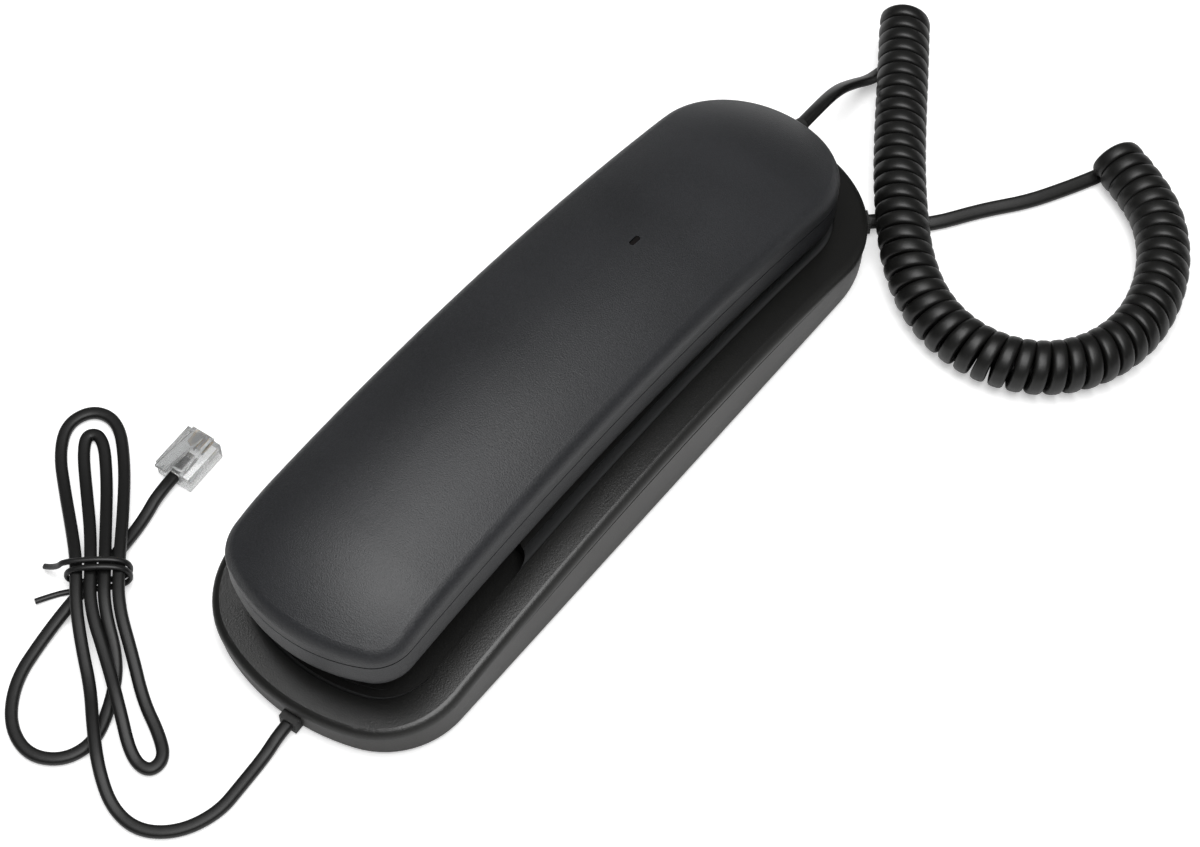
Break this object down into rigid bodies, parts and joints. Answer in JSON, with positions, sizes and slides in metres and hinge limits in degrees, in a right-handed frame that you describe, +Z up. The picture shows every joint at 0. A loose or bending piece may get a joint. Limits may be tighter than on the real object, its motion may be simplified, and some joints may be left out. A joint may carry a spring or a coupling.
{
  "type": "corded landline phone",
  "caption": "Slim corded phone: arched base with a cradle, handset lying face down with the keypad inside, coil cord and a tied line cord with a modular plug.",
  "frame": {"origin": "under the middle of the base, on the plane of its feet", "axes": "+Z up, +Y lengthwise towards the end where the coil cord leaves, +X to the right seen from the near end"},
  "size_m": [0.1931, 0.2909, 0.045],
  "materials": {
    "base_plastic": "black moulded plastic, fine grain",
    "handset_plastic": "black moulded plastic, spark-eroded grain",
    "dark_plastic": "black plain plastic",
    "number_key": "pale grey plastic, printed",
    "function_key": "dark grey plastic",
    "rubber": "black soft rubber",
    "silicone": "grey silicone",
    "coil_cord_vinyl": "black vinyl jacket, semi-gloss",
    "line_cord_vinyl": "black flat vinyl jacket, semi-gloss",
    "tie_paper": "black plastic-coated wire",
    "clear_plastic": "clear polycarbonate",
    "gold_contact": "gold-plated",
    "light_guide": "smoked clear plastic",
    "steel": "zinc-plated",
    "circuit_board": "green solder mask",
    "sounder": "black capsule",
    "aluminium_can": "drawn can"
  },
  "bodies": {
    "base": {"base_lower_shell": "base_plastic", "base_upper_shell": "base_plastic", "base_feet": "rubber", "base_screws": "steel", "base_circuit_board": "circuit_board", "ringer": "sounder", "hook_switch": "dark_plastic", "hook_spring": "steel", "volume_switch": "dark_plastic", "line_cord_grommet": "rubber", "coil_cord_grommet": "rubber", "coil_cord": "coil_cord_vinyl", "coil_cord_handset_lead": "coil_cord_vinyl", "coil_cord_base_lead": "coil_cord_vinyl", "line_cord_lead": "line_cord_vinyl", "line_cord_hank": "line_cord_vinyl", "line_cord_tail": "line_cord_vinyl", "line_plug": "clear_plastic", "line_plug_contacts": "gold_contact", "twist_tie": "tie_paper"},
    "handset": {"handset_outer_shell": "handset_plastic", "handset_inner_shell": "handset_plastic", "handset_circuit_board": "circuit_board", "keypad_mat": "silicone", "board_screws": "steel", "receiver_capsule": "sounder", "receiver_gasket": "rubber", "microphone_capsule": "aluminium_can", "microphone_boot": "rubber", "call_indicator": "light_guide", "handset_grommet": "rubber"},
    "hook_plunger": {"hook_plunger": "dark_plastic"},
    "volume_knob": {"volume_knob": "dark_plastic"},
    "key_1": {"key_1": "number_key"},
    "key_2": {"key_2": "number_key"},
    "key_3": {"key_3": "number_key"},
    "key_4": {"key_4": "number_key"},
    "key_5": {"key_5": "number_key"},
    "key_6": {"key_6": "number_key"},
    "key_7": {"key_7": "number_key"},
    "key_8": {"key_8": "number_key"},
    "key_9": {"key_9": "number_key"},
    "key_star": {"key_star": "number_key"},
    "key_0": {"key_0": "number_key"},
    "key_hash": {"key_hash": "number_key"},
    "key_redial": {"key_redial": "function_key"},
    "key_flash": {"key_flash": "function_key"},
    "key_mute": {"key_mute": "function_key"}
  },
  "joints": [
    {"name": "handset_lift", "type": "slide", "parent": "base", "child": "handset", "axis": [0, 0, 1], "range_m": [0, 0.06], "deforming": ["coil_cord_handset_lead"]},
    {"name": "hook_plunger_rise", "type": "slide", "parent": "base", "child": "hook_plunger", "axis": [0, 0, 1], "range_m": [0, 0.002], "deforming": ["hook_spring"]},
    {"name": "volume_slide", "type": "slide", "parent": "base", "child": "volume_knob", "axis": [0, 1, 0], "range_m": [-0.003, 0.003]},
    {"name": "key_1_press", "type": "slide", "parent": "handset", "child": "key_1", "axis": [0, 0.0854, 0.9963], "range_m": [0, 0.0012], "stiffness_N_per_m": 500, "springref_m": -0.0008},
    {"name": "key_2_press", "type": "slide", "parent": "handset", "child": "key_2", "axis": [0, 0.0854, 0.9963], "range_m": [0, 0.0012], "stiffness_N_per_m": 500, "springref_m": -0.0008},
    {"name": "key_3_press", "type": "slide", "parent": "handset", "child": "key_3", "axis": [0, 0.0854, 0.9963], "range_m": [0, 0.0012], "stiffness_N_per_m": 500, "springref_m": -0.0008},
    {"name": "key_4_press", "type": "slide", "parent": "handset", "child": "key_4", "axis": [0, 0.0854, 0.9963], "range_m": [0, 0.0012], "stiffness_N_per_m": 500, "springref_m": -0.0008},
    {"name": "key_5_press", "type": "slide", "parent": "handset", "child": "key_5", "axis": [0, 0.0854, 0.9963], "range_m": [0, 0.0012], "stiffness_N_per_m": 500, "springref_m": -0.0008},
    {"name": "key_6_press", "type": "slide", "parent": "handset", "child": "key_6", "axis": [0, 0.0854, 0.9963], "range_m": [0, 0.0012], "stiffness_N_per_m": 500, "springref_m": -0.0008},
    {"name": "key_7_press", "type": "slide", "parent": "handset", "child": "key_7", "axis": [0, 0.0854, 0.9963], "range_m": [0, 0.0012], "stiffness_N_per_m": 500, "springref_m": -0.0008},
    {"name": "key_8_press", "type": "slide", "parent": "handset", "child": "key_8", "axis": [0, 0.0854, 0.9963], "range_m": [0, 0.0012], "stiffness_N_per_m": 500, "springref_m": -0.0008},
    {"name": "key_9_press", "type": "slide", "parent": "handset", "child": "key_9", "axis": [0, 0.0854, 0.9963], "range_m": [0, 0.0012], "stiffness_N_per_m": 500, "springref_m": -0.0008},
    {"name": "key_star_press", "type": "slide", "parent": "handset", "child": "key_star", "axis": [0, 0.0854, 0.9963], "range_m": [0, 0.0012], "stiffness_N_per_m": 500, "springref_m": -0.0008},
    {"name": "key_0_press", "type": "slide", "parent": "handset", "child": "key_0", "axis": [0, 0.0854, 0.9963], "range_m": [0, 0.0012], "stiffness_N_per_m": 500, "springref_m": -0.0008},
    {"name": "key_hash_press", "type": "slide", "parent": "handset", "child": "key_hash", "axis": [0, 0.0854, 0.9963], "range_m": [0, 0.0012], "stiffness_N_per_m": 500, "springref_m": -0.0008},
    {"name": "key_redial_press", "type": "slide", "parent": "handset", "child": "key_redial", "axis": [0, 0.0854, 0.9963], "range_m": [0, 0.0012], "stiffness_N_per_m": 500, "springref_m": -0.0008},
    {"name": "key_flash_press", "type": "slide", "parent": "handset", "child": "key_flash", "axis": [0, 0.0854, 0.9963], "range_m": [0, 0.0012], "stiffness_N_per_m": 500, "springref_m": -0.0008},
    {"name": "key_mute_press", "type": "slide", "parent": "handset", "child": "key_mute", "axis": [0, 0.0854, 0.9963], "range_m": [0, 0.0012], "stiffness_N_per_m": 500, "springref_m": -0.0008}
  ],
  "couplings": [
    {"joint": "hook_plunger_rise", "follows": "handset_lift", "ratio": 0.033333}
  ]
}
